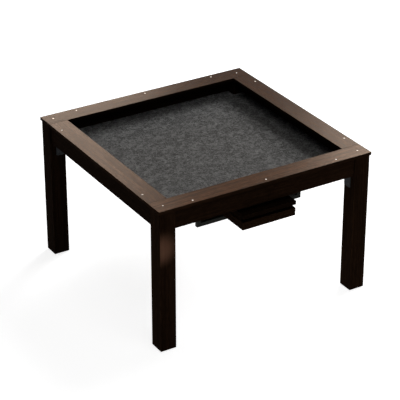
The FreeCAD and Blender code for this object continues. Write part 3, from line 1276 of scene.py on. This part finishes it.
@dataclass
class Rack(Assembly):
    """The rack under the play floor: two hangers of square tube and the brackets of the legs.

    Attributes:
        tube: The side of a hanger's tube.
        tube_ease: How far the corners of the tube are rounded.
        weld: How far a weld stands out from the tube, and down from its plate.
        weld_round: How far a weld's lower edge is rounded, as a share of the weld.
        weld_cuts: How many times a side of a weld is cut across for its ripple.
        weld_ripple: How uneven a weld is.
        ripple_scale: How many ripples there are to a metre.
        plate_thickness: The thickness of plates and brackets.
        plate_screw_reach: From the middle of a hanger's plate to its screws.
        bracket_inset: From the inner face of a leg to the side of a bracket.
        bracket_width: The width of a bracket.
        bracket_spots: Where its holes are, from its fold and from its side.
        leg_screw: The screw into a leg.
        panel_screw: The screw into the panel.
    """

    tube: float = 0.020
    tube_ease: float = 0.0010
    weld: float = 0.0028
    weld_round: float = 0.8
    weld_cuts: int = 9
    weld_ripple: float = 0.0004
    ripple_scale: float = 420.0
    plate_thickness: float = 0.003
    plate_screw_reach: float = 0.02584
    bracket_inset: float = 0.003
    bracket_width: float = 0.050
    bracket_spots: Tuple[Tuple[float, float], ...] = ((0.0315, 0.014), (0.057, 0.036))
    leg_screw: WoodScrew = WoodScrew(head_radius=0.005, length=0.028)
    panel_screw: WoodScrew = WoodScrew(head_radius=0.005, length=0.014)

    def build(self) -> None:
        """Builds the hangers and all screws, and coats the plates and brackets."""
        hanger_seats: List[Seat] = []
        for side in (Side.FRONT, Side.BACK):
            self.hanger(side)
            coat_node("hanger_plates_" + side.label, self.palette.painted)
            hanger_seats += self.plate_seats(side)
        ScrewSet("hanger_screws", seed=17).build(hanger_seats, self.palette.dull_screw)
        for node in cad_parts:
            if node.startswith("bracket_") and node != "bracket_screws":
                coat_node(node, self.palette.plated)
        ScrewSet("bracket_screws", seed=29).build(self.bracket_seats(), self.palette.dull_screw)

    def hanger(self, side: Side) -> None:
        """Builds one hanger, a U of tube that is welded to its plates.

        Args:
            side: The side that it hangs near.
        """
        node = "hanger_" + side.label
        low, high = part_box(node)
        far, near = high.x, high.x - self.tube
        floor = low.z + self.tube
        outline = [(-far, low.z), (far, low.z), (far, high.z), (near, high.z), (near, floor), (-near, floor),
                   (-near, high.z), (-far, high.z)]
        piece = Workpiece()
        piece.prism([Vector((x, low.y, z)) for x, z in outline], BACKWARD * (high.y - low.y))
        piece.ease(piece.edges(lambda edge: abs(edge.verts[0].co.y - edge.verts[1].co.y) < NEAR
                               and not on_level(edge, high.z)), self.tube_ease)
        for end in ENDS:
            self.run_weld(piece, Vector((end * (far + near) / 2.0, (low.y + high.y) / 2.0, high.z)))
        piece.one_coat()
        set_down(piece, node, [self.palette.painted])

    def run_weld(self, piece: Workpiece, joint: Vector) -> None:
        """Runs a bead of weld round the end of a tube.

        Args:
            piece: The hanger.
            joint: The middle of the tube's end.
        """
        reach = self.tube / 2.0 + self.weld
        low = joint - Vector((reach, reach, self.weld))
        verts = piece.block(low, joint + Vector((reach, reach, 0.0)))
        upright = [edge for edge in edges_at(verts)
                   if abs(edge.verts[0].co.z - edge.verts[1].co.z) > self.weld / 2.0]
        rounded = bmesh.ops.bevel(piece.mesh, geom=upright, offset=self.weld, segments=4, profile=0.5,
                                  affect="EDGES", material=-1)["verts"]
        sides = [edge for edge in edges_at([*(vert for vert in verts if vert.is_valid), *rounded])
                 if on_level(edge, low.z) and edge.calc_length() > self.weld]
        bmesh.ops.subdivide_edges(piece.mesh, edges=sides, cuts=self.weld_cuts)
        lower = piece.edges(lambda edge: on_level(edge, low.z) and on_sheet(edge, joint, reach))
        bead = bmesh.ops.bevel(piece.mesh, geom=lower, offset=self.weld_round * self.weld, segments=3,
                               profile=0.5, affect="EDGES", material=-1)["verts"]
        for vert in bead:
            out = (vert.co - joint).normalized()
            vert.co += out * self.weld_ripple * noise.noise(vert.co * self.ripple_scale)

    def plate_seats(self, side: Side) -> List[Seat]:
        """Where the screws of a hanger's two plates stand, heads down.

        Args:
            side: The side that the hanger is near.

        Returns:
            The screws and their places.
        """
        low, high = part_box("hanger_plates_" + side.label)
        middle_y = (low.y + high.y) / 2.0
        middle_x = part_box("hanger_" + side.label)[1].x - self.tube / 2.0
        spots = [Vector((end * middle_x, middle_y + way * self.plate_screw_reach, low.z))
                 for end in ENDS for way in ENDS]
        return [(self.panel_screw, Matrix.Translation(spot) @ HEADS_DOWN) for spot in spots]

    def bracket_seats(self) -> List[Seat]:
        """Where the screws of all brackets stand.

        Returns:
            The screws and their places.
        """
        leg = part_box("leg_front_left")[1]
        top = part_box("play_panel")[0].z
        edge = leg.y - self.bracket_inset
        ends = (Matrix.Translation((leg.x, edge - self.bracket_width, top)),
                Matrix.Translation((-leg.x, edge, top)) @ Side.BACK.turn)
        sideways = Matrix.Rotation(math.pi / 2.0, 4, "Y")
        seats: List[Seat] = []
        for side in Side:
            for end in ends:
                for along, over in self.bracket_spots:
                    in_leg = Matrix.Translation((self.plate_thickness, over, -along)) @ sideways
                    in_panel = Matrix.Translation((along, over, -self.plate_thickness)) @ HEADS_DOWN
                    seats += [(self.leg_screw, side.turn @ end @ in_leg),
                              (self.panel_screw, side.turn @ end @ in_panel)]
        return seats


@dataclass
class CoverBoards(Assembly):
    """The loose boards that are stacked in the rack, counted from the uppermost.

    Attributes:
        count: How many there are.
        ease: How far their edges are rounded.
        first_plank: The number of the uppermost board among the planks.
    """

    count: int = 4
    ease: float = 0.0012
    first_plank: int = 21

    def build(self) -> None:
        """Builds the boards."""
        for place in range(self.count):
            node = "cover_board_%d" % (place + 1)
            piece = Workpiece()
            piece.block(*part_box(node))
            piece.ease(list(piece.mesh.edges), self.ease)
            self.palette.stain(piece, node, Grain.ALONG_Y, self.first_plank + place, body=node)


@dataclass(frozen=True)
class Softbox:
    """A rectangular lamp.

    Attributes:
        name: Its name.
        place: Where it stands.
        target: What it looks at.
        width: Its width.
        height: Its height.
        radiance: How bright its face is, where 1 is the white of the background.
        reflected_only: Whether it is a card that shows in reflections alone.
        colour: The colour of its light.
    """

    name: str
    place: Place
    target: Place
    width: float
    height: float
    radiance: float
    reflected_only: bool = False
    colour: Colour = WHITE

    def build(self) -> None:
        """Sets the lamp up."""
        data = bpy.data.lights.new(self.name, "AREA")
        data.shape = "RECTANGLE"
        data.size, data.size_y = self.width, self.height
        data.energy = self.radiance * math.pi * self.width * self.height
        data.color = self.colour
        lamp = bpy.data.objects.new(self.name, data)
        lamp.location = self.place
        aim = Vector(self.target) - Vector(self.place)
        lamp.rotation_euler = aim.to_track_quat("-Z", "Y").to_euler()
        lamp.visible_camera = False
        lamp.visible_diffuse = not self.reflected_only
        bpy.context.scene.collection.objects.link(lamp)


@dataclass
class Studio:
    """The camera, the lamps, the pale floor and the white surroundings.

    Attributes:
        azimuth: Where the camera stands round the table, in degrees.
        elevation: How far it looks down, in degrees.
        place: Where it stands.
        lens: Its focal length in millimetres.
        film_width: The width of its film in millimetres.
        middle: What the lamps look at.
        ambient: How bright the surroundings are for matt surfaces.
        floor_size: The side of the floor.
        floor_colour: The colour of the floor.
        floor_glow: What brings the lit floor up to white in the picture and in reflections.
        lit_reach: From where the lamps' light on the floor fades, and where it ends.
        floor_bounce: How much more light than the lamps' the floor throws up on the table.
        card_distance: From the table to the two cards behind it.
        card_height: The height of the middle of the cards.
        card_size: From the lower to the upper edge of a card.
        card_colour: The warm colour of the cards.
    """

    azimuth: float = -31.3687
    elevation: float = 27.9055
    place: Place = (-4.1099, -6.7175, 4.5636)
    lens: float = 157.995
    film_width: float = 36.0
    middle: Place = (0.0, 0.0, 0.7)
    ambient: float = 0.03
    floor_size: float = 40.0
    floor_colour: Colour = (0.86, 0.86, 0.86)
    floor_glow: float = 0.84
    lit_reach: Tuple[float, float] = (2.0, 7.0)
    floor_bounce: float = 0.22
    card_distance: float = 6.0
    card_height: float = 3.9
    card_size: float = 4.0
    card_colour: Colour = (1.0, 0.79, 0.625)

    def build(self) -> None:
        """Sets everything up."""
        bpy.context.scene.view_settings.view_transform = "Standard"
        self.camera()
        self.surroundings()
        self.floor()
        for lamp in self.lamps():
            lamp.build()

    def camera(self) -> None:
        """Sets the camera at the photograph's viewing angle."""
        data = bpy.data.cameras.new("camera")
        data.lens, data.sensor_width = self.lens, self.film_width
        data.dof.use_dof = False
        camera = bpy.data.objects.new("camera", data)
        camera.location = self.place
        camera.rotation_euler = (math.radians(90.0 - self.elevation), 0.0, math.radians(self.azimuth))
        bpy.context.scene.collection.objects.link(camera)
        bpy.context.scene.camera = camera

    def lamps(self) -> List[Softbox]:
        """The lamps, with two reflection cards behind the table as the camera sees it."""
        return [
            Softbox("key", (6.9, 2.6, 6.9), self.middle, width=6.1, height=6.1, radiance=6.1),
            Softbox("fill", (-0.5, -2.4, 4.6), self.middle, width=2.4, height=2.4, radiance=1.9),
            self.card("left card", start=-3.25, end=-0.42, radiance=16.0),
            self.card("right card", start=1.15, end=3.75, radiance=23.0),
        ]

    def card(self, name: str, start: float, end: float, radiance: float) -> Softbox:
        """A card behind the table, beside the line from the camera through the table.

        Args:
            name: Its name.
            start: From that line to its left edge.
            end: From that line to its right edge.
            radiance: How bright it is.

        Returns:
            The card.
        """
        turn = math.radians(self.azimuth)
        behind = Vector((-math.sin(turn), math.cos(turn), 0.0))
        aside = Vector((math.cos(turn), math.sin(turn), 0.0))
        at = behind * self.card_distance + aside * (start + end) / 2.0 + UP * self.card_height
        facing = at - behind + UP * (self.middle[2] - self.card_height) / self.card_distance
        return Softbox(name, tuple(at), tuple(facing), width=end - start, height=self.card_size,
                       radiance=radiance, reflected_only=True, colour=self.card_colour)

    def surroundings(self) -> None:
        """Makes the world white where it is seen, and dimmer where it only lights."""
        world = bpy.data.worlds.new("white surroundings")
        bpy.context.scene.world = world
        world.use_nodes = True
        wiring = Wiring(world.node_tree)
        dim, bright = [wiring.make("ShaderNodeBackground", 0, {"Color": WHITE, "Strength": strength})
                       for strength in (self.ambient, 1.0)]
        light = wiring.make("ShaderNodeMixShader", 0, {0: wiring.seen(), 1: dim, 2: bright})
        output = wiring.tree.nodes.new("ShaderNodeOutputWorld")
        wiring.feed(output.inputs["Surface"], light)

    def floor(self) -> None:
        """Lays the pale floor, which keeps the table's shadow."""
        piece = Workpiece()
        bmesh.ops.create_grid(piece.mesh, x_segments=1, y_segments=1, size=self.floor_size / 2.0)
        floor = piece.to_object("studio_floor")
        shader = Shader("pale floor")
        speckle = shader.noise(shader.own_place(), 3.0, detail=2.0)
        shader.finish(Roughness=shader.spread(speckle, 0.3, 0.7, 0.9, 1.0), Specular_IOR_Level=0.0,
                      Base_Color=self.floor_colour)
        distance = shader.away((0.0, 0.0, 0.0), (1.0, 1.0, 1.0))
        glow_seen = shader.spread(distance, *self.lit_reach, self.floor_glow - self.floor_bounce,
                                  1.0 - self.floor_bounce)
        strength = shader.sum(shader.times(shader.seen(), glow_seen), self.floor_bounce)
        glow = shader.make("ShaderNodeEmission", 0, {"Strength": strength})
        both = shader.make("ShaderNodeAddShader", 0, {0: shader.surface.outputs["BSDF"], 1: glow})
        shader.feed(shader.output.inputs["Surface"], both)
        floor.data.materials.append(shader.material)


def main() -> None:
    """Builds the studio and the table."""
    logging.basicConfig(level=logging.INFO, format="%(message)s")
    Studio().build()
    palette = Palette()
    for assembly in (Trestle, Rim, PlayFloor, Rack, CoverBoards):
        assembly(palette).build()


if __name__ == "__main__":
    main()
